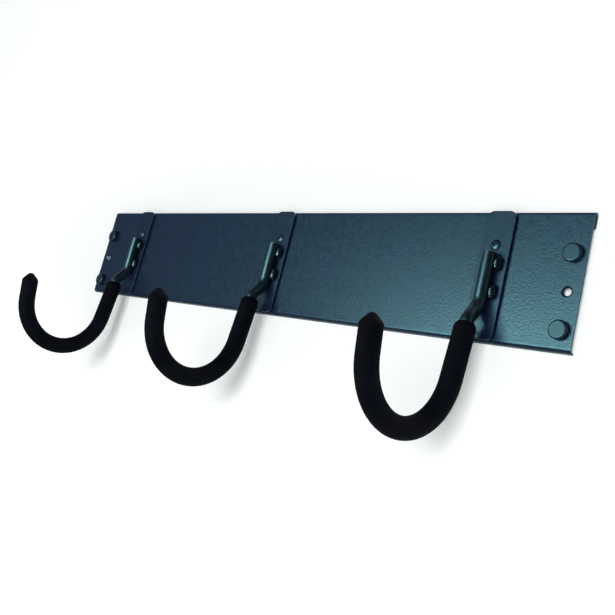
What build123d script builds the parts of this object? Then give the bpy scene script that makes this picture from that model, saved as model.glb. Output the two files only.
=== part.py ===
from build123d import *
from math import cos, radians, sin, tan
import os

# Wall hook rack: a sheet-steel rail with folded long edges, three flat straps riveted across it,
# and a round J hook with a foam sleeve welded to each strap. Screws through the rail's ends go
# into the wall, and round caps hide their heads.
#
# Millimetres. The origin is on the wall, in the middle of the four screws. +X is to the right as
# one faces the rack, -Y is away from the wall and +Z is up.

# ---- driving dimensions ----
RAIL_LENGTH = 610.0
RAIL_TOP = 56.5            # heights above and below the screws' middle
RAIL_BOTTOM = -41.5
RAIL_DEPTH = 4.5           # wall to the rail's front face
SHEET = 1.5
TOP_LIP = 14.5             # height of the edge folded flat behind the rail, fold included
LIP_CORNER = 4.0           # corners clipped off the ends of that lip
BOTTOM_BEND = 3.5          # outer radius of the bottom edge, turned back to meet the wall

STRAP_PITCH = 234.0
STRAP_WIDTH = 25.0
STRAP_THICKNESS = 2.5
STRAP_TOP = 56.5
STRAP_BOTTOM = -39.5
STRAP_CORNER = 6.0
STRAP_EDGE_BREAK = 0.4

RIVET_HEIGHT = 30.0        # one rivet this far above the middle and one as far below it
RIVET_HOLE_RADIUS = 2.5
RIVET_SHANK_RADIUS = 2.45
RIVET_HEAD_RADIUS = 4.2
RIVET_HEAD_HEIGHT = 1.4
RIVET_CROWN_HEIGHT = 1.1   # half-way out from the dimple to the rim
RIVET_RIM = 0.35
RIVET_DIMPLE_RADIUS = 1.5
RIVET_DIMPLE_DEPTH = 0.7
RIVET_TAIL_RADIUS = 3.6
RIVET_TAIL_LENGTH = 1.4
FLUSH_HEAD_DEPTH = 1.4     # the lower rivet's cone-shaped head, level with the strap's face

ROD_RADIUS = 5.0
ROD_TOP = 23.5
ROD_EDGE_BREAK = 0.6
OFFSET_ANGLE = 42.0        # slope of the short run that carries the rod away from the strap
OFFSET_RADII = (16.0, 8.0)
BEND_RADIUS = 45.0         # centre line of the hook's round bottom
BEND_CENTRE_Y = -71.0
BEND_CENTRE_Z = -68.5
ARM_LEAN = 5.3             # degrees that the wall-side arm leans out as it goes down
ARM_LENGTH = 44.5
TIP_LEAN = 8.3             # degrees that the outer arm leans out as it goes up
TIP_LENGTH = 19.7          # from the round bottom to the sleeve's shoulder

SLEEVE_RADIUS = 8.1
SLEEVE_BORE = 5.05
SLEEVE_START = 3.2         # the sleeve begins this far below the rod's second small bend
NOSE_LENGTH = 6.0
NOSE_RADIUS = 2.2
NOSE_ROUNDING = 1.2
ROD_END_GAP = 2.0          # solid sleeve between the rod's end and the shoulder

# Weld beads on each side of the rod: radius, axis from the rod's axis sideways and from the strap.
# The right-hand ones are full, and the left-hand ones are thin.
BEAD_SIDES = {-1: (2.2, 5.4, 1.2), 1: (3.8, 6.3, 2.0)}
BEADS = {"upper": (10.0, 21.5), "lower": (-11.5, 1.0)}
BEAD_GAP = 0.05

SCREW_REACH = 295.0        # screws and spare holes from the middle
SCREW_HEIGHT = 26.65
SCREW_HOLE_RADIUS = 2.75
SCREW_THREAD_RADIUS = 2.4
SCREW_NECK_RADIUS = 2.0    # plain neck from the head to the wall
SCREW_HEAD_RADIUS = 4.3
SCREW_HEAD_HEIGHT = 2.2
SCREW_IN_WALL = 32.0
SCREW_POINT = 6.0
SCREW_TIP_RADIUS = 0.2
RECESS = (4.6, 1.1, 1.2)   # cross recess: length, width and depth
SINK_RADIUS = 4.1
SINK_DEPTH = 0.9

WASHER_RADIUS = 5.7
WASHER_BORE = 2.6
WASHER_THICKNESS = 1.0
CAP_RADIUS = 6.8
CAP_BORE = 5.8
CAP_HEIGHT = 4.3
CAP_FACE = 1.0
CAP_ROUNDING = 1.4

# ---- places worked out from them ----
RAIL_FRONT = -RAIL_DEPTH
WEB_BACK = RAIL_FRONT + SHEET
STRAP_FRONT = RAIL_FRONT - STRAP_THICKNESS
ROD_Y = STRAP_FRONT - ROD_RADIUS
HOOKS = {"left": -STRAP_PITCH, "middle": 0.0, "right": STRAP_PITCH}
SCREWS = {
    "upper_left": (-SCREW_REACH, SCREW_HEIGHT),
    "upper_right": (SCREW_REACH, SCREW_HEIGHT),
    "lower_left": (-SCREW_REACH, -SCREW_HEIGHT),
    "lower_right": (SCREW_REACH, -SCREW_HEIGHT),
}
UPRIGHT = (Align.CENTER, Align.CENTER, Align.MIN)
HANGING = (Align.CENTER, Align.CENTER, Align.MAX)


def facing_room(x, y, z):
    """A plane on the rack whose own +Z points away from the wall."""
    return Plane(origin=(x, y, z), x_dir=(1, 0, 0), z_dir=(0, -1, 0))


def round_hole(x, y, z, radius, depth):
    """A drill of this depth, entering at y and going towards the wall."""
    drill = Cylinder(radius, depth, align=HANGING)
    return facing_room(x, y, z) * drill


def rounded_plate(x, low, high, back, thickness):
    """An upright strap blank with round corners and lightly broken edges."""
    blank = RectangleRounded(STRAP_WIDTH, high - low, STRAP_CORNER)
    plate = extrude(facing_room(x, back, (low + high) / 2) * blank, thickness)
    front_edges = plate.faces().sort_by(Axis.Y)[0].edges()
    return fillet(front_edges, STRAP_EDGE_BREAK)


# ---- rail ----
def rail_section():
    """Web with its top edge folded flat behind it and its bottom edge turned to the wall."""
    fold = RAIL_DEPTH / 2
    inner = fold - SHEET
    top, top_end = RAIL_TOP - fold, RAIL_TOP - TOP_LIP
    bottom, bend_y = RAIL_BOTTOM + BOTTOM_BEND, RAIL_FRONT + BOTTOM_BEND
    outline = [
        Line((0, top_end), (0, top)),
        ThreePointArc((0, top), (-fold, RAIL_TOP), (RAIL_FRONT, top)),
        Line((RAIL_FRONT, top), (RAIL_FRONT, bottom)),
        RadiusArc((RAIL_FRONT, bottom), (bend_y, RAIL_BOTTOM), -BOTTOM_BEND),
        Line((bend_y, RAIL_BOTTOM), (0, RAIL_BOTTOM)),
        Line((0, RAIL_BOTTOM), (0, RAIL_BOTTOM + SHEET)),
        Line((0, RAIL_BOTTOM + SHEET), (bend_y, RAIL_BOTTOM + SHEET)),
        RadiusArc((bend_y, RAIL_BOTTOM + SHEET), (WEB_BACK, bottom), BOTTOM_BEND - SHEET),
        Line((WEB_BACK, bottom), (WEB_BACK, top)),
        ThreePointArc((WEB_BACK, top), (-fold, top + inner), (-SHEET, top)),
        Line((-SHEET, top), (-SHEET, top_end)),
        Line((-SHEET, top_end), (0, top_end)),
    ]
    return make_face(Plane.YZ * Curve(outline))


def lip_corner(side):
    """The triangle clipped off the lip where its free edge meets the rail's end."""
    end, edge = side * RAIL_LENGTH / 2, RAIL_TOP - TOP_LIP
    corner = Polyline(
        (end, 0, edge),
        (end - side * LIP_CORNER, 0, edge),
        (end, 0, edge + LIP_CORNER),
        close=True,
    )
    return extrude(make_face(corner), SHEET, dir=(0, -1, 0))


def back_rail():
    rail = extrude(rail_section(), RAIL_LENGTH / 2, both=True)
    for side in (-1, 1):
        rail -= lip_corner(side)
        rail -= round_hole(side * SCREW_REACH, RAIL_FRONT, 0, SCREW_HOLE_RADIUS, SHEET)
        sink = Cone(SCREW_HOLE_RADIUS, SINK_RADIUS, SINK_DEPTH, align=HANGING)
        rail -= facing_room(side * SCREW_REACH, RAIL_FRONT, 0) * sink
    for x, z in SCREWS.values():
        rail -= round_hole(x, RAIL_FRONT, z, SCREW_HOLE_RADIUS, SHEET)
    for x in HOOKS.values():
        for z in (-RIVET_HEIGHT, RIVET_HEIGHT):
            rail -= round_hole(x, RAIL_FRONT, z, RIVET_HOLE_RADIUS, SHEET)
    return rail


# ---- strap and rivets ----
def hook_strap(x):
    strap = rounded_plate(x, STRAP_BOTTOM, STRAP_TOP, RAIL_FRONT, STRAP_THICKNESS)
    for z in (-RIVET_HEIGHT, RIVET_HEIGHT):
        strap -= round_hole(x, STRAP_FRONT, z, RIVET_HOLE_RADIUS, STRAP_THICKNESS)
    sink = Cone(RIVET_HOLE_RADIUS, RIVET_HEAD_RADIUS, FLUSH_HEAD_DEPTH, align=HANGING)
    return strap - facing_room(x, STRAP_FRONT, -RIVET_HEIGHT) * sink


def set_tail(start):
    """The rivet's outline from this point: down the shank, round the set tail, to the axis."""
    grip = STRAP_THICKNESS + SHEET
    tail = -grip - RIVET_TAIL_LENGTH
    return Polyline(
        start,
        (RIVET_SHANK_RADIUS, -grip),
        (RIVET_TAIL_RADIUS, -grip),
        (RIVET_TAIL_RADIUS, -grip - RIVET_TAIL_LENGTH / 2),
        (RIVET_SHANK_RADIUS, tail),
        (0, tail),
    )


def turned_rivet(x, z, half):
    """A rivet turned from half its outline, set in the strap at this place."""
    turned = revolve(make_face(Plane.XZ * Curve(half)), Axis.Z)
    return facing_room(x, STRAP_FRONT, z) * turned


def domed_rivet(x, z):
    """Domed flange with a dimpled middle, a shank through strap and rail, and a set tail."""
    tail = -STRAP_THICKNESS - SHEET - RIVET_TAIL_LENGTH
    rim = (RIVET_HEAD_RADIUS, RIVET_RIM)
    lip = (RIVET_DIMPLE_RADIUS, RIVET_HEAD_HEIGHT)
    crown = ((rim[0] + lip[0]) / 2, RIVET_CROWN_HEIGHT)
    floor = RIVET_HEAD_HEIGHT - RIVET_DIMPLE_DEPTH
    half = [
        Polyline((0, tail), (0, floor), (RIVET_DIMPLE_RADIUS / 2, floor), lip),
        ThreePointArc(lip, crown, rim),
        Polyline(rim, (RIVET_HEAD_RADIUS, 0), (RIVET_SHANK_RADIUS, 0)),
        set_tail((RIVET_SHANK_RADIUS, 0)),
    ]
    return turned_rivet(x, z, half)


def flush_rivet(x, z):
    """Sunk head level with the strap's face, so that it clears the rod, and the same set tail."""
    tail = -STRAP_THICKNESS - SHEET - RIVET_TAIL_LENGTH
    neck = (RIVET_SHANK_RADIUS, -FLUSH_HEAD_DEPTH)
    head = Polyline(
        (0, tail), (0, 0), (RIVET_HEAD_RADIUS, 0), (RIVET_HOLE_RADIUS, -FLUSH_HEAD_DEPTH), neck
    )
    return turned_rivet(x, z, [head, set_tail(neck)])


# ---- hook ----
def side_plane(x):
    """The upright plane through a hook: its own X runs along the rack's +Y and its Y along +Z."""
    return Plane(origin=(x, 0, 0), x_dir=(0, 1, 0), z_dir=(1, 0, 0))


BEND_CENTRE = Vector(BEND_CENTRE_Y, BEND_CENTRE_Z)
ARM_UP = Vector(sin(radians(ARM_LEAN)), cos(radians(ARM_LEAN)))
TIP_UP = Vector(-sin(radians(TIP_LEAN)), cos(radians(TIP_LEAN)))
ARM_FOOT = BEND_CENTRE + Vector(cos(radians(ARM_LEAN)), -sin(radians(ARM_LEAN))) * BEND_RADIUS
TIP_FOOT = BEND_CENTRE - Vector(cos(radians(TIP_LEAN)), sin(radians(TIP_LEAN))) * BEND_RADIUS
ARM_TOP = ARM_FOOT + ARM_UP * ARM_LENGTH
OFFSET_START = Vector(ROD_Y, ARM_TOP.Y + (ROD_Y - ARM_TOP.X) / tan(radians(OFFSET_ANGLE)))
SLEEVE_TOP = ARM_FOOT + ARM_UP * (ARM_LENGTH - SLEEVE_START)
SHOULDER = TIP_FOOT + TIP_UP * TIP_LENGTH
ROD_END = SHOULDER - TIP_UP * ROD_END_GAP


def round_bottom():
    """The hook's lower curve, from the wall-side arm round to the outer arm."""
    turn = 180.0 - ARM_LEAN - TIP_LEAN
    return CenterArc(BEND_CENTRE, BEND_RADIUS, -ARM_LEAN, -turn)


def swept(x, path, radius):
    """A round bar of this radius along a path drawn in the hook's own upright plane."""
    track = side_plane(x) * Wire(path)
    start = Plane(origin=track @ 0, z_dir=track % 0)
    return sweep(start * Circle(radius), path=track)


def rod_path():
    offset = FilletPolyline((ROD_Y, ROD_TOP), OFFSET_START, ARM_TOP, ARM_FOOT, radius=OFFSET_RADII)
    return [*offset.edges(), round_bottom(), Line(TIP_FOOT, ROD_END)]


def hook_rod(x):
    rod = swept(x, rod_path(), ROD_RADIUS)
    top_edge = rod.edges().sort_by(Axis.Z)[-1]
    return chamfer(top_edge, ROD_EDGE_BREAK)


def foam_sleeve(x):
    """Thick tube over the rod, closed by a blunt nose beyond the rod's end."""
    outside = swept(x, [Line(SLEEVE_TOP, ARM_FOOT), round_bottom(), Line(TIP_FOOT, SHOULDER)], SLEEVE_RADIUS)
    nose_plane = Plane(
        origin=side_plane(x).from_local_coords(SHOULDER), z_dir=(0, TIP_UP.X, TIP_UP.Y)
    )
    nose = Cone(SLEEVE_RADIUS, NOSE_RADIUS, NOSE_LENGTH, align=UPRIGHT)
    nose = fillet(nose.edges().sort_by(Axis.Z)[-1], NOSE_ROUNDING)
    bore = swept(x, [Line(SLEEVE_TOP, ARM_FOOT), round_bottom(), Line(TIP_FOOT, ROD_END)], SLEEVE_BORE)
    return outside + nose_plane * nose - bore


def hook_weld(x):
    """Four short fillet welds: an upper and a lower one down each side of the rod."""
    rod = Pos(x, ROD_Y, 0) * Cylinder(ROD_RADIUS + BEAD_GAP, 2 * RAIL_LENGTH)
    strap_side = Pos(x, STRAP_FRONT - BEAD_GAP, 0) * Box(
        STRAP_WIDTH, STRAP_THICKNESS + RAIL_DEPTH, RAIL_LENGTH, align=(Align.CENTER, Align.MIN, Align.CENTER)
    )
    beads = []
    for side, (radius, sideways, forward) in BEAD_SIDES.items():
        for low, high in BEADS.values():
            straight = high - low - 2 * radius
            bead = Pos(0, 0, low + radius) * Cylinder(radius, straight, align=UPRIGHT)
            bead += Pos(0, 0, low + radius) * Sphere(radius)
            bead += Pos(0, 0, high - radius) * Sphere(radius)
            bead = Pos(x + side * sideways, STRAP_FRONT - forward, 0) * bead
            beads.append(bead - rod - strap_side)
    return Compound([solid for bead in beads for solid in bead.solids()])


# ---- end fixings ----
def wall_screw(x, z):
    """Pan head with a cross recess, a plain neck through the rail, and a pointed shank in the wall."""
    seat = WASHER_THICKNESS
    head = Pos(0, 0, seat) * Cylinder(SCREW_HEAD_RADIUS, SCREW_HEAD_HEIGHT, align=UPRIGHT)
    head = fillet(head.edges().sort_by(Axis.Z)[-1], SCREW_HEAD_HEIGHT / 2)
    arm, width, depth = RECESS
    for length_x, length_y in ((arm, width), (width, arm)):
        slot = Box(length_x, length_y, depth, align=HANGING)
        head -= Pos(0, 0, seat + SCREW_HEAD_HEIGHT) * slot
    neck = Pos(0, 0, seat) * Cylinder(SCREW_NECK_RADIUS, seat + RAIL_DEPTH, align=HANGING)
    shank = Cylinder(SCREW_THREAD_RADIUS, SCREW_IN_WALL - SCREW_POINT, align=HANGING)
    point = Cone(SCREW_TIP_RADIUS, SCREW_THREAD_RADIUS, SCREW_POINT, align=UPRIGHT)
    shank += Pos(0, 0, -SCREW_IN_WALL) * point
    return facing_room(x, RAIL_FRONT, z) * (head + neck + Pos(0, 0, -RAIL_DEPTH) * shank)


def cap_washer(x, z):
    """Flat ring under the screw head that the cap snaps over."""
    ring = Cylinder(WASHER_RADIUS, WASHER_THICKNESS, align=UPRIGHT)
    ring -= Cylinder(WASHER_BORE, WASHER_THICKNESS, align=UPRIGHT)
    return facing_room(x, RAIL_FRONT, z) * ring


def screw_cap(x, z):
    """Flat-faced round cap, hollow behind, that hides the screw head."""
    cap = Cylinder(CAP_RADIUS, CAP_HEIGHT, align=UPRIGHT)
    cap = fillet(cap.edges().sort_by(Axis.Z)[-1], CAP_ROUNDING)
    cap -= Cylinder(CAP_BORE, CAP_HEIGHT - CAP_FACE, align=UPRIGHT)
    return facing_room(x, RAIL_FRONT, z) * cap


# ---- one file per piece ----
pieces = {"back_rail": back_rail()}
for place, x in HOOKS.items():
    pieces[f"hook_strap_{place}"] = hook_strap(x)
    pieces[f"upper_rivet_{place}"] = domed_rivet(x, RIVET_HEIGHT)
    pieces[f"lower_rivet_{place}"] = flush_rivet(x, -RIVET_HEIGHT)
    pieces[f"hook_rod_{place}"] = hook_rod(x)
    pieces[f"hook_weld_{place}"] = hook_weld(x)
    pieces[f"foam_sleeve_{place}"] = foam_sleeve(x)
for place, (x, z) in SCREWS.items():
    pieces[f"wall_screw_{place}"] = wall_screw(x, z)
    pieces[f"cap_washer_{place}"] = cap_washer(x, z)
    pieces[f"screw_cap_{place}"] = screw_cap(x, z)

os.makedirs("parts", exist_ok=True)
for name, piece in pieces.items():
    export_step(piece, f"parts/{name}.step")
    print(name, round(piece.volume, 1))
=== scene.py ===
# %% Load the frame
from math import cos, pi, radians, sin

import bpy
from mathutils import Matrix, Vector


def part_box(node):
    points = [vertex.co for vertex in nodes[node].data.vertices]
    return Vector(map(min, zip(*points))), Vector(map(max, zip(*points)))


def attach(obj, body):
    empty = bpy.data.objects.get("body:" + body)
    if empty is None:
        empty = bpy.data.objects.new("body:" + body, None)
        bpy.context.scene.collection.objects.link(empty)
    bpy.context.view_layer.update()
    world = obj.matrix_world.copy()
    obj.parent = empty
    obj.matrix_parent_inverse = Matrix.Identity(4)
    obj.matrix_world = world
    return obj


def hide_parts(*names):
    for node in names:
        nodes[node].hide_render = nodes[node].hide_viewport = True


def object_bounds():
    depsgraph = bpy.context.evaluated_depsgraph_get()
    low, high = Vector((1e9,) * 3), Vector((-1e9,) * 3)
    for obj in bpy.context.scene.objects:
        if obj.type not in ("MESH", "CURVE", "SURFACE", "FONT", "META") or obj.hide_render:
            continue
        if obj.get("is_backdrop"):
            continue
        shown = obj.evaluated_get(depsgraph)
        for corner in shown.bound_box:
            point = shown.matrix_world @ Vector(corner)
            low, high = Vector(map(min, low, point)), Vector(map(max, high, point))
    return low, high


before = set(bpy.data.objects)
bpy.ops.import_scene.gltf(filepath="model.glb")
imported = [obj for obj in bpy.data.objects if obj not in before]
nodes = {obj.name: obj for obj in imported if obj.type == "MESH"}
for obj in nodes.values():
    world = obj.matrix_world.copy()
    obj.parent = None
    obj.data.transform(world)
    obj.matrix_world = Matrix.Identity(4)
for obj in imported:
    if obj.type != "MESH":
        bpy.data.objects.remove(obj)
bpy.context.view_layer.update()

# %% [markdown]
# # A wall hook rack
# A long steel rail with folded edges carries three flat straps. A round steel hook is welded to each
# strap, with a soft black sleeve pushed over it. The design already exists as an exact model, which
# the cell above loads. This lesson gives every piece its real surface, rebuilds the pieces whose
# shape was only a plain stand-in (sleeves, welds, screw threads), and lights the result in a studio.
# Everything is in metres, in the rack's own frame: +X along the rail, -Y out into the room, +Z up.

# %% Places and sizes read from the rack
MM = 0.001
PLACES = ("left", "middle", "right")
ENDS = ("upper_left", "upper_right", "lower_left", "lower_right")

sleeve_low, sleeve_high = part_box("foam_sleeve_middle")
rod_low, rod_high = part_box("hook_rod_middle")
hook_x = {place: sum(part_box("hook_rod_" + place), Vector()).x / 2 for place in PLACES}
rod_radius = (rod_high.x - rod_low.x) / 2
sleeve_radius = (sleeve_high.x - sleeve_low.x) / 2
print("hooks at", [round(1000 * x) for x in hook_x.values()], "mm, rod radius", round(1000 * rod_radius, 1))

# %% [markdown]
# ## One small tool for node trees
# A material in Blender is a little network of nodes, and so is a shape made by Geometry Nodes.
# Writing such a network out by hand is long, so one helper adds a node, fills in its settings and
# connects its inputs. Two node types come up all the time, so their long names get short ones: the
# sum node and the noise texture, whose bumps and blotches have the size that its scale gives them.

# %% The node helper
MATH = "ShaderNodeMath"
NOISE = "ShaderNodeTexNoise"


def add(tree, kind, inputs=(), **settings):
    """Add a node. Its inputs come by name or in order: plain values, or outputs or nodes to link to."""
    node = tree.nodes.new(kind)
    for name, value in settings.items():
        setattr(node, name, value)
    pairs = inputs.items() if isinstance(inputs, dict) else enumerate(inputs)
    for socket, value in pairs:
        if isinstance(value, bpy.types.Node):
            value = value.outputs[0]
        if isinstance(value, bpy.types.NodeSocket):
            tree.links.new(value, node.inputs[socket])
        else:
            node.inputs[socket].default_value = value
    return node


def per_metre(feature_mm):
    """Texture scale that gives features of about this size."""
    return 1 / (feature_mm * MM)


print("node helper ready; a 1.5 mm texture has scale", round(per_metre(1.5)))

# %% [markdown]
# ## Colours and blank materials
# People swap colours as sRGB hex codes, but shaders calculate with linear numbers, so one function
# turns the first into the second. Real finishes are never one flat colour, so each material here
# gets two close shades, and a texture chooses between them. Every material also starts the same
# way, from an empty node tree and the surface's own coordinates in metres.

# %% Colour and material helpers
DARK_BELOW, LIGHT_ABOVE = 0.35, 0.65      # noise lies mostly between these two values


def linear(hex_code):
    """The linear RGBA colour for an sRGB hex code such as #1c2b33."""
    channels = [int(hex_code[i : i + 2], 16) / 255 for i in (1, 3, 5)]
    return [c / 12.92 if c <= 0.04045 else ((c + 0.055) / 1.055) ** 2.4 for c in channels] + [1.0]


def set_shades(ramp, dark, light):
    """Give a colour ramp its two hex colours."""
    for stop, position, shade in zip(ramp.elements, (DARK_BELOW, LIGHT_ABOVE), (dark, light)):
        stop.position = position
        stop.color = linear(shade)


def new_material(name):
    """An empty material: its node tree, its shader and its surface coordinates in metres."""
    material = bpy.data.materials.new(name)
    material.use_nodes = True
    tree = material.node_tree
    shader = tree.nodes["Principled BSDF"]
    coordinates = add(tree, "ShaderNodeTexCoord")
    return material, tree, shader, coordinates.outputs["Object"]


print("colour helper ready; mid grey in linear light is", round(linear("#808080")[0], 3))

# %% [markdown]
# ## Powder-coated steel
# Rail, straps and hooks are mild steel with a baked powder coat. The powder melts into a satin skin
# that keeps a faint *orange peel*: low, soft bumps about a millimetre and a half across. They blur
# reflections a little and make the sheen look alive when light grazes it. Four noises do this: a
# broad one and a fine grit choose the shade, a cloudy one shifts the gloss a little, and the peel
# and the grit feed a bump node. The coat is a plastic, not a metal, so metallic stays at 0 and the
# IOR near 1.5. The pigment is a black navy, and flakes in the clear top layer turn the sheen teal,
# which the specular tint gives. Straps reflect less than the rail, and rods more.

# %% Powder coat
SHEEN_TINT = "#a0f1f8"
TONE_MM = 45            # patches of one shade
CLOUD_MM = 5            # patches of one gloss
CLOUD_LOW, CLOUD_HIGH = 0.3, 0.7
GLOSS_SPREAD = 0.05     # roughness either way
GRIT_SHARE = 0.12       # height of the grit next to that of the peel
MIX_SHARE, MIX_FIRST, MIX_SECOND = 0, 2, 3      # the sockets of a Mix node that mixes numbers


def powder_coat(name, dark, light, roughness, peel_mm, peel_depth_mm, shine=0.5):
    """Baked powder coat: two close shades, satin gloss and soft orange peel."""
    material, tree, shader, place = new_material(name)
    broad = add(tree, NOISE, {"Vector": place, "Scale": per_metre(TONE_MM), "Detail": 3.0})
    peel = add(tree, NOISE, {"Vector": place, "Scale": per_metre(peel_mm), "Detail": 0.6})
    grit = add(tree, NOISE, {"Vector": place, "Scale": per_metre(peel_mm / 4), "Detail": 1.0})
    cloud = add(tree, NOISE, {"Vector": place, "Scale": per_metre(CLOUD_MM), "Detail": 3.0})

    tone = {MIX_SHARE: 0.5, MIX_FIRST: broad.outputs["Fac"], MIX_SECOND: grit.outputs["Fac"]}
    tone = add(tree, "ShaderNodeMix", tone)
    ramp = add(tree, "ShaderNodeValToRGB", {"Fac": tone.outputs[0]})
    set_shades(ramp.color_ramp, dark, light)
    tree.links.new(ramp.outputs["Color"], shader.inputs["Base Color"])

    gloss = {"Value": cloud.outputs["Fac"], "From Min": CLOUD_LOW, "From Max": CLOUD_HIGH}
    gloss.update({"To Min": roughness - GLOSS_SPREAD, "To Max": roughness + GLOSS_SPREAD})
    gloss = add(tree, "ShaderNodeMapRange", gloss)
    tree.links.new(gloss.outputs["Result"], shader.inputs["Roughness"])

    height = (grit.outputs["Fac"], GRIT_SHARE, peel.outputs["Fac"])
    height = add(tree, MATH, height, operation="MULTIPLY_ADD")
    bump = add(tree, "ShaderNodeBump", {"Height": height, "Distance": peel_depth_mm * MM, "Strength": 0.6})
    tree.links.new(bump.outputs["Normal"], shader.inputs["Normal"])
    shader.inputs["IOR"].default_value = 1.52
    shader.inputs["Specular Tint"].default_value = linear(SHEEN_TINT)
    shader.inputs["Specular IOR Level"].default_value = shine
    return material


rail_coat = powder_coat(
    "powder_coated_steel_rail", "#0b1228", "#0f1832", roughness=0.35, peel_mm=1.6, peel_depth_mm=0.14
)
strap_coat = powder_coat(
    "powder_coated_steel_strap", "#0b1128", "#0e1632", roughness=0.40, peel_mm=1.8, peel_depth_mm=0.14,
    shine=0.36,
)
# The rods' coat is a darker copy of the same powder coat: painted shade.
rod_coat_with_painted_shade = powder_coat(
    "powder_coated_steel_rod_with_painted_shade", "#070a12", "#0a0f19", roughness=0.34, peel_mm=1.8, peel_depth_mm=0.05,
    shine=0.8,
)
rivet_coat = powder_coat(
    "powder_coated_steel_rivet", "#0c131e", "#101a28", roughness=0.36, peel_mm=1.2, peel_depth_mm=0.03
)
# The beads' coat is a darker copy of the same powder coat: painted shade for the rod's shadow that they sit
# in.
weld_coat_with_painted_shade = powder_coat(
    "powder_coated_weld_bead_with_painted_shade", "#070a10", "#0a0e15", roughness=0.28, peel_mm=1.0, peel_depth_mm=0.04
)
print("powder coats:", [m.name for m in (rail_coat, strap_coat, rod_coat_with_painted_shade, rivet_coat, weld_coat_with_painted_shade)])

# %% [markdown]
# ## Foam, plastic and zinc
# The sleeves are closed-cell rubber foam: nearly black, matte, with pin-prick cells that trap light,
# so the specular level is low, and a faint bloom at grazing angles, which a touch of sheen gives.
# The caps are moulded plastic with a fine spark texture, in the rail's colour. The screws are
# zinc-plated steel, the only bare metal, so there metallic is 1 and the IOR is left alone. Three of
# these textures are finer on the real thing than a render can show, so they are drawn coarser.

# %% Closed-cell foam
CELL_MM = 0.9           # real cells are about 0.3 mm; drawn this coarse so that they show
WRINKLE_MM = 2.2
DUST_MM = 14
CELL_SHARE = 0.4        # depth of the cells next to that of the wrinkles


def closed_cell_foam(name):
    """Rubber foam skin: matte black, fine cells, soft wrinkles and a faint dusty bloom."""
    material, tree, shader, place = new_material(name)
    cells = add(tree, "ShaderNodeTexVoronoi", {"Vector": place, "Scale": per_metre(CELL_MM)})
    dust = add(tree, NOISE, {"Vector": place, "Scale": per_metre(DUST_MM), "Detail": 4.0})
    skin = add(tree, NOISE, {"Vector": place, "Scale": per_metre(WRINKLE_MM), "Detail": 3.0})
    ramp = add(tree, "ShaderNodeValToRGB", {"Fac": dust.outputs["Fac"]})
    set_shades(ramp.color_ramp, "#04060b", "#080b13")
    tree.links.new(ramp.outputs["Color"], shader.inputs["Base Color"])
    height = (cells.outputs["Distance"], CELL_SHARE, skin.outputs["Fac"])
    height = add(tree, MATH, height, operation="MULTIPLY_ADD")
    bump = add(tree, "ShaderNodeBump", {"Height": height, "Distance": 0.12 * MM, "Strength": 0.7})
    tree.links.new(bump.outputs["Normal"], shader.inputs["Normal"])
    shader.inputs["Roughness"].default_value = 0.8
    shader.inputs["IOR"].default_value = 1.45
    shader.inputs["Specular IOR Level"].default_value = 0.035
    shader.inputs["Sheen Weight"].default_value = 0.004
    shader.inputs["Sheen Roughness"].default_value = 0.5
    return material


sleeve_foam = closed_cell_foam("closed_cell_rubber_foam")
print("foam:", sleeve_foam.name, "with", len(sleeve_foam.node_tree.nodes), "nodes")

# %% Moulded plastic
SPARK_MM = 0.6          # real spark texture is about 0.1 mm; drawn this coarse so that it shows
FLOW_MM = 9


def moulded_plastic(name, dark, light, roughness):
    """Injection-moulded plastic with the fine, even texture of a spark-eroded mould."""
    material, tree, shader, place = new_material(name)
    spark = add(tree, NOISE, {"Vector": place, "Scale": per_metre(SPARK_MM), "Detail": 2.0})
    flow = add(tree, NOISE, {"Vector": place, "Scale": per_metre(FLOW_MM), "Detail": 2.0})
    ramp = add(tree, "ShaderNodeValToRGB", {"Fac": flow.outputs["Fac"]})
    set_shades(ramp.color_ramp, dark, light)
    tree.links.new(ramp.outputs["Color"], shader.inputs["Base Color"])
    bump = {"Height": spark.outputs["Fac"], "Distance": 0.03 * MM, "Strength": 0.5}
    bump = add(tree, "ShaderNodeBump", bump)
    tree.links.new(bump.outputs["Normal"], shader.inputs["Normal"])
    shader.inputs["Roughness"].default_value = roughness
    shader.inputs["IOR"].default_value = 1.49
    shader.inputs["Specular Tint"].default_value = linear(SHEEN_TINT)
    return material


cap_plastic = moulded_plastic("moulded_nylon_cap", "#0e1725", "#121e2e", roughness=0.4)
washer_plastic = moulded_plastic("moulded_nylon_washer", "#101214", "#15181b", roughness=0.5)
print("plastics:", cap_plastic.name, washer_plastic.name)

# %% Zinc plate
PATCH_MM = 4
SCRATCH_MM = 0.5        # real plating grain is finer still; drawn this coarse so that it shows


def zinc_plate(name):
    """Bright zinc on steel: a pale metal, faintly yellow, with patches of duller plating."""
    material, tree, shader, place = new_material(name)
    patches = add(tree, NOISE, {"Vector": place, "Scale": per_metre(PATCH_MM), "Detail": 3.0})
    scratch = add(tree, NOISE, {"Vector": place, "Scale": per_metre(SCRATCH_MM), "Detail": 2.0})
    ramp = add(tree, "ShaderNodeValToRGB", {"Fac": patches.outputs["Fac"]})
    set_shades(ramp.color_ramp, "#a9aaa6", "#c4c3bb")
    tree.links.new(ramp.outputs["Color"], shader.inputs["Base Color"])
    gloss = {"Value": patches.outputs["Fac"], "To Min": 0.24, "To Max": 0.44}
    gloss = add(tree, "ShaderNodeMapRange", gloss)
    tree.links.new(gloss.outputs["Result"], shader.inputs["Roughness"])
    bump = {"Height": scratch.outputs["Fac"], "Distance": 0.02 * MM, "Strength": 0.4}
    bump = add(tree, "ShaderNodeBump", bump)
    tree.links.new(bump.outputs["Normal"], shader.inputs["Normal"])
    shader.inputs["Metallic"].default_value = 1.0
    return material


screw_zinc = zinc_plate("zinc_plated_steel")
print("metal:", screw_zinc.name)

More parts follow.
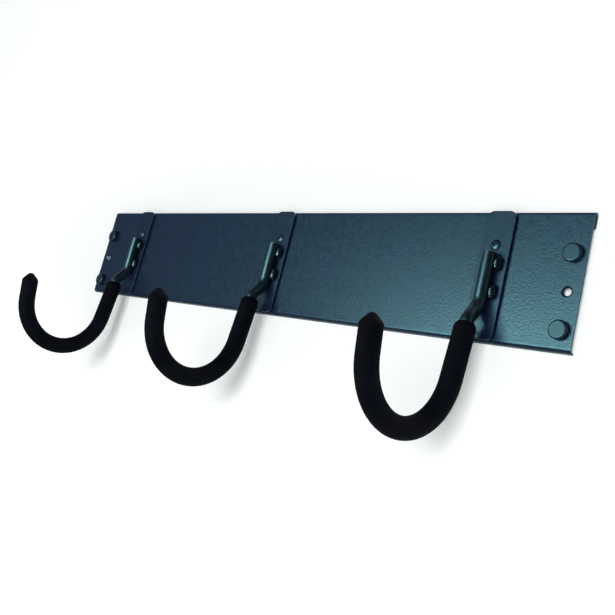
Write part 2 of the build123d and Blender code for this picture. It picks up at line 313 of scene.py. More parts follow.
# %% [markdown]
# ## Dressing the pieces whose shape is already right
# Rail, straps, rivets, rods, caps and washers come from the exact model with the right shape and
# crisp corners, so they only need their finish. It goes into the slots of the mesh they came with.

# %% Finishes for the exact pieces
def dress(node_name, material):
    """Give one exact piece its material in place of the plain one it was loaded with."""
    mesh = nodes[node_name].data
    mesh.materials.clear()
    mesh.materials.append(material)


dress("back_rail", rail_coat)
for place in PLACES:
    dress("hook_strap_" + place, strap_coat)
    dress("hook_rod_" + place, rod_coat_with_painted_shade)
    dress("upper_rivet_" + place, rivet_coat)
    dress("lower_rivet_" + place, rivet_coat)
for end in ENDS:
    dress("screw_cap_" + end, cap_plastic)
    dress("cap_washer_" + end, washer_plastic)
print("exact pieces dressed:", 1 + 4 * len(PLACES) + 2 * len(ENDS))

# %% [markdown]
# ## Shapes that follow a rule
# A sleeve follows the hook's line, a weld is a row of ripples along a seam and a thread is a ridge
# wound round a shank. Each is a rule, so Geometry Nodes build them: a small tree with named sizes
# takes a simple line and returns the finished surface. The first cell below makes and ends such a
# tree. The next one makes a line and runs a tree on it, and keeps the result as a plain mesh, which
# is what other programs can read.

# %% Trees with named sizes
SOCKETS = {float: "NodeSocketFloat", int: "NodeSocketInt"}


def shape_tree(name, sizes):
    """A Geometry Nodes tree with a named input for each size, and the node that holds them."""
    tree = bpy.data.node_groups.new(name, "GeometryNodeTree")
    tree.interface.new_socket("Geometry", in_out="INPUT", socket_type="NodeSocketGeometry")
    for label, value in sizes.items():
        socket = tree.interface.new_socket(label, in_out="INPUT", socket_type=SOCKETS[type(value)])
        socket.default_value = value
    tree.interface.new_socket("Finish", in_out="INPUT", socket_type="NodeSocketMaterial")
    tree.interface.new_socket("Geometry", in_out="OUTPUT", socket_type="NodeSocketGeometry")
    return tree, tree.nodes.new("NodeGroupInput").outputs


def close_tree(tree, sizes, shape):
    """End a tree: make real geometry of its shape, smooth it and give it its finish."""
    real = add(tree, "GeometryNodeRealizeInstances", {"Geometry": shape})
    smooth = add(tree, "GeometryNodeSetShadeSmooth", {"Geometry": real})
    finish = add(tree, "GeometryNodeSetMaterial", {"Geometry": smooth, "Material": sizes["Finish"]})
    add(tree, "NodeGroupOutput", {"Geometry": finish})


def tube(tree, line, radius, sides):
    """A closed tube round a line, of this radius, which may change along it."""
    circle = add(tree, "GeometryNodeCurvePrimitiveCircle", {"Resolution": sides, "Radius": 1.0})
    parts = {"Curve": line, "Profile Curve": circle, "Scale": radius, "Fill Caps": True}
    return add(tree, "GeometryNodeCurveToMesh", parts)


print("sizes can be", [kind.__name__ for kind in SOCKETS])

# %% Lines, and running a tree on one
def line_object(name, runs, thickness=None):
    """A curve object with one straight-segment spline through each run of points."""
    curve = bpy.data.curves.new(name, "CURVE")
    curve.dimensions = "3D"
    for number, points in enumerate(runs):
        spline = curve.splines.new("POLY")
        spline.points.add(len(points) - 1)
        spline.points.foreach_set("co", [c for point in points for c in (*point, 1.0)])
        if thickness:
            spline.points.foreach_set("radius", [thickness[number]] * len(points))
    line = bpy.data.objects.new(name, curve)
    bpy.context.scene.collection.objects.link(line)
    return line


def grow(name, line, tree, finish, **values):
    """Run a tree on a line with these sizes, and keep the result as a plain mesh object."""
    modifier = line.modifiers.new(tree.name, "NODES")
    modifier.node_group = tree
    given = {label.replace("_", " "): value for label, value in values.items()}
    given["finish"] = finish
    for socket in tree.interface.items_tree:
        if socket.in_out == "INPUT" and socket.name.lower() in given:
            modifier[socket.identifier] = given[socket.name.lower()]
    bpy.context.view_layer.update()
    shown = line.evaluated_get(bpy.context.evaluated_depsgraph_get())
    mesh = bpy.data.meshes.new_from_object(shown)
    mesh.name = name
    bpy.data.objects.remove(line)
    piece = bpy.data.objects.new(name, mesh)
    bpy.context.scene.collection.objects.link(piece)
    return piece


def finish_piece(piece, slot, *node_names):
    """Hide the exact pieces that this one stands for and hang it on the rack's root body; the slot is not
    used.
    """
    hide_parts(*node_names)
    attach(piece, "root")


print("Geometry Nodes helpers ready")

# %% [markdown]
# ## The hook's line
# The bar is bent like this: down an arm that leans out a little, round a bottom of 45 mm radius, and
# up a shorter tip that leans out a little more. Three facts from the bending (radius, two leans) and
# the sleeve's own box fix the whole line, so no point of it has to be typed in.

# %% The sleeve's centre line
BEND_RADIUS = 45 * MM
ARM_LEAN = radians(5.3)
TIP_LEAN = radians(8.3)
TIP_LENGTH = 19.7 * MM
NOSE_LENGTH = 6 * MM
LEAD = 5 * MM          # the line also runs this far above the sleeve, for cutting the bore
STEP = 0.45 * MM

bend_z = sleeve_low.z + sleeve_radius + BEND_RADIUS
bend_y = sleeve_low.y + (sleeve_radius + BEND_RADIUS) * cos(TIP_LEAN) + TIP_LENGTH * sin(TIP_LEAN)
arm_foot = Vector((0, bend_y + BEND_RADIUS * cos(ARM_LEAN), bend_z - BEND_RADIUS * sin(ARM_LEAN)))
tip_foot = Vector((0, bend_y - BEND_RADIUS * cos(TIP_LEAN), bend_z - BEND_RADIUS * sin(TIP_LEAN)))
arm_up = Vector((0, sin(ARM_LEAN), cos(ARM_LEAN)))
tip_up = Vector((0, -sin(TIP_LEAN), cos(TIP_LEAN)))
arm_length = (sleeve_high.z - arm_foot.z - sleeve_radius * sin(ARM_LEAN)) / cos(ARM_LEAN)
bend_turn = pi - ARM_LEAN - TIP_LEAN


def spaced(length):
    """Distances from 0 to a length, about one step apart."""
    count = max(1, round(length / STEP))
    return [length * i / count for i in range(count + 1)]


def hook_line(x):
    """The sleeve's centre line at this place on the rail, from above its top to the nose's end."""
    arm = [arm_foot + arm_up * (arm_length + LEAD - s) for s in spaced(arm_length + LEAD)]
    bend = []
    for s in spaced(BEND_RADIUS * bend_turn)[1:-1]:
        angle = -ARM_LEAN - s / BEND_RADIUS
        bend.append(Vector((0, bend_y + BEND_RADIUS * cos(angle), bend_z + BEND_RADIUS * sin(angle))))
    tip = [tip_foot + tip_up * s for s in spaced(TIP_LENGTH + NOSE_LENGTH)]
    return [point + Vector((x, 0, 0)) for point in arm + bend + tip]


sleeve_length = arm_length + BEND_RADIUS * bend_turn + TIP_LENGTH + NOSE_LENGTH
print("sleeve length", round(1000 * sleeve_length), "mm, straight arm", round(1000 * arm_length), "mm")

# %% [markdown]
# ## The foam sleeve
# It is a thick-walled foam tube, cut square at the top and closed to a blunt nose at the tip. The
# foam puckers where the bar bends, so fine rings run round it. The tree carries a circle along the
# line and sets its size at each place: a rounded rim at the mouth, rings and slow swellings on the
# way, and the nose's profile, a small drawn curve. A second, thinner tube cut out of the first is
# the bore that the bar fills, so the sleeve is a real tube and not a solid.

# %% The sleeve's tree: nose and rim
NOSE_PROFILE = ((0.02, 0.14), (0.08, 0.27), (0.35, 0.53), (0.65, 0.79), (0.88, 0.95))
RIM_ROUNDING = 2.4                  # how suddenly the wall turns in at the mouth
PAST_THE_END = 1.0                  # a length that is longer than any line here
TRIM_START, TRIM_END = 4, 5         # the sockets of a Trim Curve that are lengths
sleeve_sizes = {
    "Radius": sleeve_radius, "Bore": rod_radius, "Lead": LEAD, "Bore End": 8 * MM, "Nose": 7.5 * MM,
    "Rim Length": 5.5 * MM, "Rim Depth": 2.3 * MM, "Ring Spacing": 1.7 * MM, "Ring Depth": 0.18 * MM,
    "Swell Spacing": 22 * MM, "Swelling": 0.14 * MM, "Seed": 0,
}
sleeve_tree, size = shape_tree("foam_sleeve", sleeve_sizes)
trim = {"Curve": size["Geometry"], TRIM_START: size["Lead"], TRIM_END: PAST_THE_END}
outer_line = add(sleeve_tree, "GeometryNodeTrimCurve", trim, mode="LENGTH")
whole = add(sleeve_tree, "GeometryNodeSplineLength").outputs["Length"]
along = add(sleeve_tree, "GeometryNodeSplineParameter").outputs["Length"]

left = add(sleeve_tree, MATH, (whole, along), operation="SUBTRACT")
nose_part = add(sleeve_tree, MATH, (left, size["Nose"]), operation="DIVIDE")
nose = add(sleeve_tree, "ShaderNodeFloatCurve", {"Value": nose_part})
for from_tip, share in NOSE_PROFILE:
    nose.mapping.curves[0].points.new(from_tip, share)
nose.mapping.update()

from_mouth = add(sleeve_tree, MATH, (along, size["Rim Length"]), operation="DIVIDE")
from_mouth = add(sleeve_tree, MATH, (from_mouth, 1.0), operation="MINIMUM")
inward = add(sleeve_tree, MATH, (1.0, from_mouth), operation="SUBTRACT")
inward = add(sleeve_tree, MATH, (inward, RIM_ROUNDING), operation="POWER")
rim = add(sleeve_tree, MATH, (size["Rim Depth"], inward), operation="MULTIPLY")
print("sleeve tree so far:", len(sleeve_tree.nodes), "nodes")

# %% The sleeve's tree: rings, swellings and the two tubes
OUTSIDE_SIDES, BORE_SIDES = 72, 40


def wobble(tree, distance, spacing, depth, seed, detail):
    """A smooth random rise and fall along the line, up to half a depth either way."""
    turns = add(tree, MATH, (distance, spacing), operation="DIVIDE")
    turns = add(tree, MATH, (turns, seed), operation="ADD")
    noise = add(tree, NOISE, {"W": turns, "Scale": 1.0, "Detail": detail}, noise_dimensions="1D")
    either_way = add(tree, MATH, (noise.outputs["Fac"], 0.5), operation="SUBTRACT")
    return add(tree, MATH, (either_way, depth), operation="MULTIPLY")


rings = wobble(sleeve_tree, along, size["Ring Spacing"], size["Ring Depth"], size["Seed"], detail=2.0)
swell = wobble(sleeve_tree, along, size["Swell Spacing"], size["Swelling"], size["Seed"], detail=1.0)
uneven = add(sleeve_tree, MATH, (rings, swell), operation="ADD")
body = add(sleeve_tree, MATH, (size["Radius"], uneven), operation="ADD")
body = add(sleeve_tree, MATH, (body, rim), operation="SUBTRACT")
outer_radius = add(sleeve_tree, MATH, (body, nose), operation="MULTIPLY")
outside = tube(sleeve_tree, outer_line, outer_radius, OUTSIDE_SIDES)

bore_end = add(sleeve_tree, MATH, (size["Lead"], size["Bore End"]), operation="ADD")
trim = {"Curve": size["Geometry"], TRIM_START: 0.0, TRIM_END: bore_end}
bore_line = add(sleeve_tree, "GeometryNodeTrimCurve", trim, mode="LENGTH")
bore = tube(sleeve_tree, bore_line, size["Bore"], BORE_SIDES)
cut = {"Mesh 1": outside, "Mesh 2": bore}
hollow_sleeve = add(sleeve_tree, "GeometryNodeMeshBoolean", cut, operation="DIFFERENCE", solver="EXACT")
close_tree(sleeve_tree, size, hollow_sleeve)
print("sleeve tree:", len(sleeve_tree.nodes), "nodes")

# %% The three sleeves
BORE_CLEARANCE = 0.05 * MM
ROD_END_GAP = 2 * MM        # from the end of the bar to the solid nose
SKIN_ROOM = 0.1 * MM        # kept free so that the uneven skin stays inside the sleeve's size
SLEEVE_SEED = 7             # a different run of the same noise for each sleeve
bore_reach = sleeve_length - NOSE_LENGTH - ROD_END_GAP

for number, place in enumerate(PLACES):
    name = "foam_sleeve_" + place
    piece = grow(
        "padded_" + name,
        line_object(name + "_line", [hook_line(hook_x[place])]),
        sleeve_tree,
        sleeve_foam,
        radius=sleeve_radius - SKIN_ROOM,
        bore=rod_radius + BORE_CLEARANCE,
        lead=LEAD,
        bore_end=bore_reach,
        seed=SLEEVE_SEED * number,
    )
    finish_piece(piece, "sleeve_foam", name)
    print(piece.name, len(piece.data.polygons), "faces")

# %% [markdown]
# ## The weld beads
# Each hook is held by four short fillet welds run by hand: two full ones on its right and two thin
# ones on its left. A bead is a row of overlapping ripples about a millimetre and a half apart,
# thicker in the middle and uneven in width, which the baked coat then softens. The tree sweeps a
# circle along four short lines and lets the ripples, the taper and a seeded noise set its size.
# Each line carries its own share of the full width. Whatever would reach into the strap is pressed
# flat onto its face, so the bead sits on the strap as melted metal does.

# %% The bead's tree
FULL_BEAD = 3.8 * MM
THIN_BEAD = 2.2 * MM
BEAD_AROUND = 28            # sides of the swept circle
END_ROUNDING = 3.0          # how suddenly a bead's ends round over
END_LEFT = 0.004            # keeps the last ring of faces from closing to a point
bead_sizes = {
    "Radius": FULL_BEAD, "Seat": -7 * MM, "Ripple Pitch": 1.5 * MM, "Ripple Depth": 0.07,
    "Unevenness": 0.3, "Step": 0.3 * MM, "Seed": 0,
}
bead_tree, size = shape_tree("weld_bead", bead_sizes)
fine = {"Curve": size["Geometry"], "Length": size["Step"]}
fine_line = add(bead_tree, "GeometryNodeResampleCurve", fine, mode="LENGTH")
run = add(bead_tree, "GeometryNodeSplineParameter").outputs

from_middle = add(bead_tree, MATH, (run["Factor"], 2.0, -1.0), operation="MULTIPLY_ADD")
from_middle = add(bead_tree, MATH, (from_middle,), operation="ABSOLUTE")
taper = add(bead_tree, MATH, (from_middle, END_ROUNDING), operation="POWER")
taper = add(bead_tree, MATH, (1.0, taper), operation="SUBTRACT")
taper = add(bead_tree, MATH, (taper, END_LEFT), operation="MAXIMUM")
taper = add(bead_tree, MATH, (taper,), operation="SQRT")

half_pitch = add(bead_tree, MATH, (size["Ripple Pitch"], 2.0), operation="DIVIDE")
wave = add(bead_tree, MATH, (run["Length"], half_pitch), operation="PINGPONG")
wave = add(bead_tree, MATH, (wave, size["Ripple Pitch"]), operation="DIVIDE")
ripple = add(bead_tree, MATH, (wave, size["Ripple Depth"]), operation="MULTIPLY")
ripple = add(bead_tree, MATH, (1.0, ripple), operation="SUBTRACT")
width = add(bead_tree, MATH, (taper, ripple), operation="MULTIPLY")

share = add(bead_tree, "GeometryNodeInputRadius")
full_radius = add(bead_tree, MATH, (share, size["Radius"]), operation="MULTIPLY")
bead_radius = add(bead_tree, MATH, (width, full_radius), operation="MULTIPLY")
bead = tube(bead_tree, fine_line, bead_radius, BEAD_AROUND)
print("bead tree so far:", len(bead_tree.nodes), "nodes")

# %% Lumps, and the flat that sits on the strap
LUMP_MM = 4.5
LUMP_LEVEL = 0.15           # noise above this dents the bead, and noise below it swells it
here = add(bead_tree, "GeometryNodeInputPosition")
lumps = {"Vector": here, "W": size["Seed"], "Scale": per_metre(LUMP_MM), "Detail": 1.0}
lumps = add(bead_tree, NOISE, lumps, noise_dimensions="4D")
hollow = add(bead_tree, MATH, (LUMP_LEVEL, lumps.outputs["Fac"]), operation="SUBTRACT")
reach = add(bead_tree, MATH, (size["Unevenness"], size["Radius"]), operation="MULTIPLY")
hollow = add(bead_tree, MATH, (hollow, reach), operation="MULTIPLY")
outward = add(bead_tree, "GeometryNodeInputNormal")
dent = add(bead_tree, "ShaderNodeVectorMath", {"Vector": outward, "Scale": hollow}, operation="SCALE")
uneven_bead = add(bead_tree, "GeometryNodeSetPosition", {"Geometry": bead, "Offset": dent})

spot = add(bead_tree, "ShaderNodeSeparateXYZ", (here,)).outputs
level = add(bead_tree, MATH, (spot["Y"], size["Seat"]), operation="MINIMUM")
pressed = add(bead_tree, "ShaderNodeCombineXYZ", (spot["X"], level, spot["Z"]))
seated = add(bead_tree, "GeometryNodeSetPosition", {"Geometry": uneven_bead, "Position": pressed})
close_tree(bead_tree, size, seated)
print("bead tree:", len(bead_tree.nodes), "nodes")

# %% The beads on each hook
THIN_LIFT = 1.15 * MM       # from the strap to the middle of a thin bead
UPPER_RUN = 11.5 * MM
LOWER_RUN = 12.5 * MM
END_ROOM = 0.2 * MM
SINK = 0.1 * MM             # how far the flat goes into the strap, so that no gap shows
BEAD_SEED = 3


def bead_lines(low, high):
    """The four lines of a hook's beads, worked out from the box that the beads fill."""
    lines = []
    for x, y in ((low.x + THIN_BEAD, high.y - THIN_LIFT), (high.x - FULL_BEAD, low.y + FULL_BEAD)):
        for top, bottom in ((high.z, high.z - UPPER_RUN), (low.z + LOWER_RUN, low.z)):
            lines.append([(x, y, top - END_ROOM), (x, y, bottom + END_ROOM)])
    return lines


bead_shares = [THIN_BEAD / FULL_BEAD] * 2 + [1.0] * 2
for number, place in enumerate(PLACES):
    name = "hook_weld_" + place
    low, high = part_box(name)
    piece = grow(
        "rippled_" + name,
        line_object(name + "_lines", bead_lines(low, high), bead_shares),
        bead_tree,
        weld_coat_with_painted_shade,
        radius=FULL_BEAD,
        seat=high.y + SINK,
        seed=BEAD_SEED * number + 1,
    )
    finish_piece(piece, "weld_paint", name)
    print(piece.name, len(piece.data.polygons), "faces")

# %% [markdown]
# ## The wall screws
# A wall screw is turned and thread-rolled: a domed head with a cross recess, a plain neck through
# the rail, then a coarse thread that runs out in a point. It could be modelled as a shank with a
# helix laid on it, but then two surfaces cross. Here one closed tube is pushed in and out instead:
# a drawn profile gives the radius at each depth, and the thread is a ridge whose phase turns with
# the angle round the shank, which is exactly what a helix is.

# %% The screw's tree: the turned profile
screw_low, screw_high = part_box("wall_screw_upper_left")
screw_length = screw_high.y - screw_low.y
neck_end = -screw_low.y                 # where the neck meets the wall
HEAD_RADIUS = (screw_high.x - screw_low.x) / 2
HEAD_HEIGHT = 2.2 * MM
HEAD_RIM = 0.2 * MM
CROWN_RADIUS = 2.4 * MM                 # the flat top of the domed head
NECK_RADIUS = 2.0 * MM
CORE_RADIUS = 1.7 * MM
NECK_TAPER = 0.6 * MM
POINT_LENGTH = 6 * MM
POINT_SHARE = 0.02                      # what is left of the radius at the point's end
HEAD_DOME = ((0.35 * MM, 3.5 * MM), (1.0 * MM, 4.1 * MM))     # depths and radii down the dome
SCREW_AROUND = 40                       # sides of the tube
screw_sizes = {
    "Step": 0.15 * MM, "Length": screw_length, "Head Radius": HEAD_RADIUS, "Thread Start": 0.0,
    "Thread End": screw_high.y, "Point": POINT_LENGTH, "Thread Depth": 0.6 * MM, "Pitch": 1.8 * MM,
    "Recess Width": 0.9 * MM, "Recess Span": 4 * MM, "Recess Depth": 2.6 * MM,
}
screw_tree, size = shape_tree("wall_screw", screw_sizes)
fine = {"Curve": size["Geometry"], "Length": size["Step"]}
fine_line = add(screw_tree, "GeometryNodeResampleCurve", fine, mode="LENGTH")
blank = tube(screw_tree, fine_line, 1.0 * MM, SCREW_AROUND)
here = add(screw_tree, "GeometryNodeInputPosition")
spot = add(screw_tree, "ShaderNodeSeparateXYZ", (here,)).outputs
depth = add(screw_tree, MATH, (spot["Y"], screw_low.y), operation="SUBTRACT")
depth = add(screw_tree, MATH, (depth, size["Length"]), operation="DIVIDE")
turned = add(screw_tree, "ShaderNodeFloatCurve", {"Value": depth})
stations = HEAD_DOME + (
    (HEAD_HEIGHT - HEAD_RIM, HEAD_RADIUS), (HEAD_HEIGHT, NECK_RADIUS), (neck_end, NECK_RADIUS),
    (neck_end + NECK_TAPER, CORE_RADIUS), (screw_length - POINT_LENGTH, CORE_RADIUS),
)
drawn = turned.mapping.curves[0].points
drawn[0].location = (0, CROWN_RADIUS / HEAD_RADIUS)
drawn[1].location = (1, POINT_SHARE)
for at, radius in stations:
    drawn.new(at / screw_length, radius / HEAD_RADIUS)
for point in drawn:
    point.handle_type = "VECTOR"
turned.mapping.update()
turned_radius = add(screw_tree, MATH, (turned, size["Head Radius"]), operation="MULTIPLY")
print("profile stations:", len(drawn))

# %% The screw's tree: the thread
RIDGE_SLOPE = 2.2           # the ridge fills the pitch divided by this
ONE_TURN = 2 * pi
HALF_PITCH = 0.5
angle = add(screw_tree, MATH, (spot["X"], spot["Z"]), operation="ARCTAN2")
angle = add(screw_tree, MATH, (angle, ONE_TURN), operation="DIVIDE")
turns = add(screw_tree, MATH, (spot["Y"], size["Pitch"]), operation="DIVIDE")
phase = add(screw_tree, MATH, (turns, angle), operation="ADD")
phase = add(screw_tree, MATH, (phase, HALF_PITCH), operation="ADD")
phase = add(screw_tree, MATH, (phase,), operation="FRACT")
off_crest = add(screw_tree, MATH, (phase, 2.0, -1.0), operation="MULTIPLY_ADD")
off_crest = add(screw_tree, MATH, (off_crest,), operation="ABSOLUTE")
ridge = add(screw_tree, MATH, (off_crest, -RIDGE_SLOPE, 1.0), operation="MULTIPLY_ADD")
ridge = add(screw_tree, MATH, (ridge, 0.0), operation="MAXIMUM")

run_in = add(screw_tree, MATH, (spot["Y"], size["Thread Start"]), operation="SUBTRACT")
run_in = add(screw_tree, MATH, (run_in, size["Pitch"]), operation="DIVIDE")
run_out = add(screw_tree, MATH, (size["Thread End"], spot["Y"]), operation="SUBTRACT")
run_out = add(screw_tree, MATH, (run_out, size["Point"]), operation="DIVIDE")
height = add(screw_tree, MATH, (run_in, run_out), operation="MINIMUM")
height = add(screw_tree, MATH, (height, 1.0), operation="MINIMUM")
height = add(screw_tree, MATH, (height, 0.0), operation="MAXIMUM")
thread = add(screw_tree, MATH, (ridge, height), operation="MULTIPLY")
thread = add(screw_tree, MATH, (thread, size["Thread Depth"]), operation="MULTIPLY")
radius = add(screw_tree, MATH, (turned_radius, thread), operation="ADD")
print("screw tree so far:", len(screw_tree.nodes), "nodes")

# %% The screw's tree: pushing the tube out, and the recess
flat_spot = add(screw_tree, "ShaderNodeCombineXYZ", {"X": spot["X"], "Z": spot["Z"]})
spoke = add(screw_tree, "ShaderNodeVectorMath", (flat_spot,), operation="NORMALIZE")
reach = add(screw_tree, "ShaderNodeVectorMath", {"Vector": spoke, "Scale": radius}, operation="SCALE")
on_axis = add(screw_tree, "ShaderNodeCombineXYZ", {"Y": spot["Y"]})
placed = add(screw_tree, "ShaderNodeVectorMath", (on_axis, reach), operation="ADD")
shape = add(screw_tree, "GeometryNodeSetPosition", {"Geometry": blank, "Position": placed})

for across, up in (("Recess Span", "Recess Width"), ("Recess Width", "Recess Span")):
    block = add(screw_tree, "ShaderNodeCombineXYZ", (size[across], size["Recess Depth"], size[up]))
    blade = add(screw_tree, "GeometryNodeMeshCube", {"Size": block})
    place_blade = {"Geometry": blade, "Translation": (0, screw_low.y, 0)}
    blade = add(screw_tree, "GeometryNodeTransform", place_blade)
    cut = {"Mesh 1": shape, "Mesh 2": blade}
    shape = add(screw_tree, "GeometryNodeMeshBoolean", cut, operation="DIFFERENCE", solver="EXACT")
close_tree(screw_tree, size, shape)
print("screw tree:", len(screw_tree.nodes), "nodes")

# %% The four screws
screw_line = line_object("screw_line", [[(0, screw_low.y, 0), (0, screw_high.y, 0)]])
master = grow("screw_master", screw_line, screw_tree, screw_zinc)
for end in ENDS:
    name = "wall_screw_" + end
    low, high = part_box(name)
    mesh = master.data.copy()
    mesh.transform(Matrix.Translation(((low.x + high.x) / 2, 0, (low.z + high.z) / 2)))
    piece = bpy.data.objects.new("threaded_" + name, mesh)
    bpy.context.scene.collection.objects.link(piece)
    finish_piece(piece, "screw_zinc", name)
print("each screw:", len(master.data.polygons), "faces")
bpy.data.objects.remove(master)

# %% [markdown]
# ## Camera
# The rack is seen from its right-hand end, close up and a little from below, with the camera rolled
# so that the rail's top edge lies level in the view. A fairly short distance gives the strong
# perspective: the right-hand hook is more than half as large again as the left-hand one.

# %% Camera
EYE = Vector((0.5789, -0.5027, -0.121))
TURN = (101.526, -14.06, 45.235)        # degrees
SHIFT = (0.0144, -0.1038)
camera_data = bpy.data.cameras.new("camera")
camera_data.lens = 49.02
camera_data.sensor_width = 36
camera_data.shift_x, camera_data.shift_y = SHIFT
camera_data.clip_start = 10 * MM
camera = bpy.data.objects.new("camera", camera_data)
camera.location = EYE
camera.rotation_euler = [radians(degrees) for degrees in TURN]
bpy.context.scene.collection.objects.link(camera)
bpy.context.scene.camera = camera
print("distance to the right-hand hook:", round((EYE - Vector((hook_x["right"], 0, 0))).length, 2), "m")

# %% [markdown]
# ## Wall and floor
# The rack hangs on a plain white wall with painted light in its paint: it glows a little, though it is
# no lamp. The glow is least close to the rack, which paints shade round it beside the soft shadows
# that show there, and more further off, where the wall goes to clean white. The wall is only there
# from the room's side: seen from behind it turns clear, and it throws no shadow, so that the back of
# the rack can be inspected too. A pale floor lies below. It is left out of reflections, so that the
# gloss on the rack comes from the lights alone.

# %% Paint for the wall and the floor
# The wall's emission is painted light: it glows though it is no lamp, and it glows less close to the rack,
# which is painted shade.
PAINTED_GLOW_NEAR, PAINTED_GLOW_FAR = 0.13, 0.32
GLOW_FROM, GLOW_TO = 0.08, 0.19         # distance from the rack over which the glow grows
GLOW_SHAPE = (0.3, 1, 1)                # distance along the rail counts for less
WASH_MM = 400
ROLLER_MM = 3


def matt_paint(name, dark, light, roughness):
    """Matt emulsion: two close shades in soft, wide patches, and a roller's faint stipple."""
    material, tree, shader, place = new_material(name)
    wash = add(tree, NOISE, {"Vector": place, "Scale": per_metre(WASH_MM), "Detail": 2.0})
    stipple = add(tree, NOISE, {"Vector": place, "Scale": per_metre(ROLLER_MM), "Detail": 2.0})
    ramp = add(tree, "ShaderNodeValToRGB", {"Fac": wash.outputs["Fac"]})
    set_shades(ramp.color_ramp, dark, light)
    tree.links.new(ramp.outputs["Color"], shader.inputs["Base Color"])
    bump = {"Height": stipple.outputs["Fac"], "Distance": 0.05 * MM, "Strength": 0.3}
    bump = add(tree, "ShaderNodeBump", bump)
    tree.links.new(bump.outputs["Normal"], shader.inputs["Normal"])
    shader.inputs["Roughness"].default_value = roughness
    return material, tree, shader, place


floor_paint = matt_paint("pale_floor_paint", "#e9ecec", "#eef0f0", roughness=0.7)[0]
wall_paint_and_painted_glow, tree, shader, place = matt_paint(
    "matt_white_wall_paint_and_painted_glow", "#f3f6f5", "#f7f9f8", roughness=0.9
)
# Painted shade round the rack: the wall's painted glow grows with the distance from the rack.
squeezed = add(tree, "ShaderNodeVectorMath", (place, GLOW_SHAPE), operation="MULTIPLY")
away = add(tree, "ShaderNodeVectorMath", (squeezed,), operation="LENGTH")
glow = {"Value": away.outputs["Value"], "From Min": GLOW_FROM, "From Max": GLOW_TO}
glow.update({"To Min": PAINTED_GLOW_NEAR, "To Max": PAINTED_GLOW_FAR})
glow = add(tree, "ShaderNodeMapRange", glow, interpolation_type="SMOOTHSTEP")
tree.links.new(glow.outputs["Result"], shader.inputs["Emission Strength"])
shader.inputs["Emission Color"].default_value = linear("#fafdfc")

side = add(tree, "ShaderNodeNewGeometry")
clear = add(tree, "ShaderNodeBsdfTransparent")
one_sided = add(tree, "ShaderNodeMixShader", (side.outputs["Backfacing"], shader, clear))
tree.links.new(one_sided.outputs[0], tree.nodes["Material Output"].inputs["Surface"])
print("paints:", wall_paint_and_painted_glow.name, floor_paint.name)

# %% Wall and floor
FLOOR_Z = -0.6
SPREAD = 4.0
WALL_HEIGHT = 3.0
WALL_Y = 0.3 * MM          # a hair behind the rack's back, so that the two never share a surface


def panel(name, corners, material):
    """One flat sheet of the surroundings, which isn't part of the rack."""
    mesh = bpy.data.meshes.new(name)
    mesh.from_pydata(corners, [], [tuple(range(len(corners)))])
    mesh.materials.append(material)
    sheet = bpy.data.objects.new(name, mesh)
    bpy.context.scene.collection.objects.link(sheet)
    sheet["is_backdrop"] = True
    return sheet


left, right = -SPREAD, SPREAD
foot = [(left, WALL_Y, FLOOR_Z), (right, WALL_Y, FLOOR_Z)]
wall = panel("wall", foot + [(right, WALL_Y, WALL_HEIGHT), (left, WALL_Y, WALL_HEIGHT)], wall_paint_and_painted_glow)
wall.visible_shadow = False
front = [(left, -SPREAD, FLOOR_Z), (right, -SPREAD, FLOOR_Z)]
floor = panel("floor", front + [(right, SPREAD, FLOOR_Z), (left, SPREAD, FLOOR_Z)], floor_paint)
floor.visible_glossy = False
print("wall and floor ready; floor", round(-1000 * FLOOR_Z), "mm below the screws")

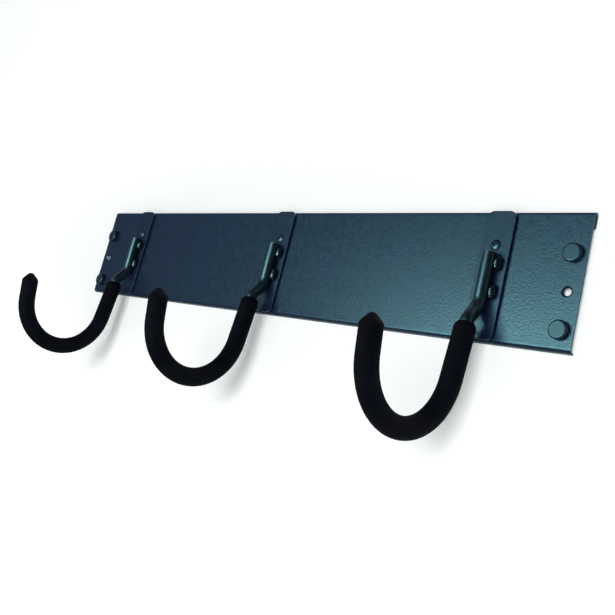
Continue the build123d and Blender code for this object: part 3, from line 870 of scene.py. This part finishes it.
# %% [markdown]
# ## Light
# A studio often lights gloss and shape separately, and so does this one. A bright card in the room,
# at the height of the rack, is seen only in reflections: the rail mirrors it towards the camera, and
# that blurred reflection is the sheen on its lower right. A wide, dim, blue card further left adds
# a faint navy shine to the rest of the rail in the same way. The key light stands far out in the
# room on the right and gives no reflection, only light, so the hooks' shadows fall close behind
# them. A light high up behind the wall shows the back of the rack. The room itself is nearly dark
# as a light, but pale where the camera looks straight at it. Colours are shown as they are, with
# the Standard view.

# %% Lights
def soft_light(name, place, aim, width, height, radiance):
    """A rectangular light with this brightness per area, facing a point."""
    data = bpy.data.lights.new(name, "AREA")
    data.shape = "RECTANGLE"
    data.size = width
    data.size_y = height
    data.energy = radiance * pi * width * height
    light = bpy.data.objects.new(name, data)
    light.location = place
    light.rotation_mode = "QUATERNION"
    light.rotation_quaternion = (Vector(aim) - Vector(place)).to_track_quat("-Z", "Y")
    bpy.context.scene.collection.objects.link(light)
    return light


gloss_card = soft_light(
    "gloss_card", place=(-0.2, -1.1, -0.12), aim=(0.05, 0, 0), width=0.8, height=0.5, radiance=19
)
gloss_card.visible_diffuse = False
dim_card = soft_light(
    "dim_card", place=(-1.5, -1.5, 0.3), aim=(-0.3, 0, 0), width=3.4, height=1.8, radiance=0.3
)
dim_card.visible_diffuse = False
dim_card.data.color = linear("#a8c2ff")[:3]
key_light = soft_light(
    "key_light", place=(1.9, -4.5, 0.05), aim=(0, 0, 0), width=2.6, height=2.6, radiance=9.9
)
key_light.visible_glossy = False
soft_light("back_light", place=(0.2, 1.0, 1.3), aim=(0, 0, 0), width=1.2, height=1.2, radiance=8)

# %% The room round them
ROOM_LIGHT = 0.06
ROOM_SEEN = 0.85
world = bpy.data.worlds.new("pale_room")
world.use_nodes = True
room = world.node_tree.nodes["Background"]
room.inputs["Color"].default_value = linear("#f4f8fa")
seen = add(world.node_tree, "ShaderNodeLightPath").outputs["Is Camera Ray"]
strength = (seen, ROOM_SEEN - ROOM_LIGHT, ROOM_LIGHT)
strength = add(world.node_tree, MATH, strength, operation="MULTIPLY_ADD")
world.node_tree.links.new(strength.outputs[0], room.inputs["Strength"])
bpy.context.scene.world = world
bpy.context.scene.view_settings.view_transform = "Standard"
print("room light", ROOM_LIGHT, "and brightness where it is seen", ROOM_SEEN)

# %% [markdown]
# ## The finished size
# The finished rack must be as large as the exact one. Its size is printed here.

# %% Size
low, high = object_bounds()
print("size in mm:", [round(1000 * side, 1) for side in high - low])
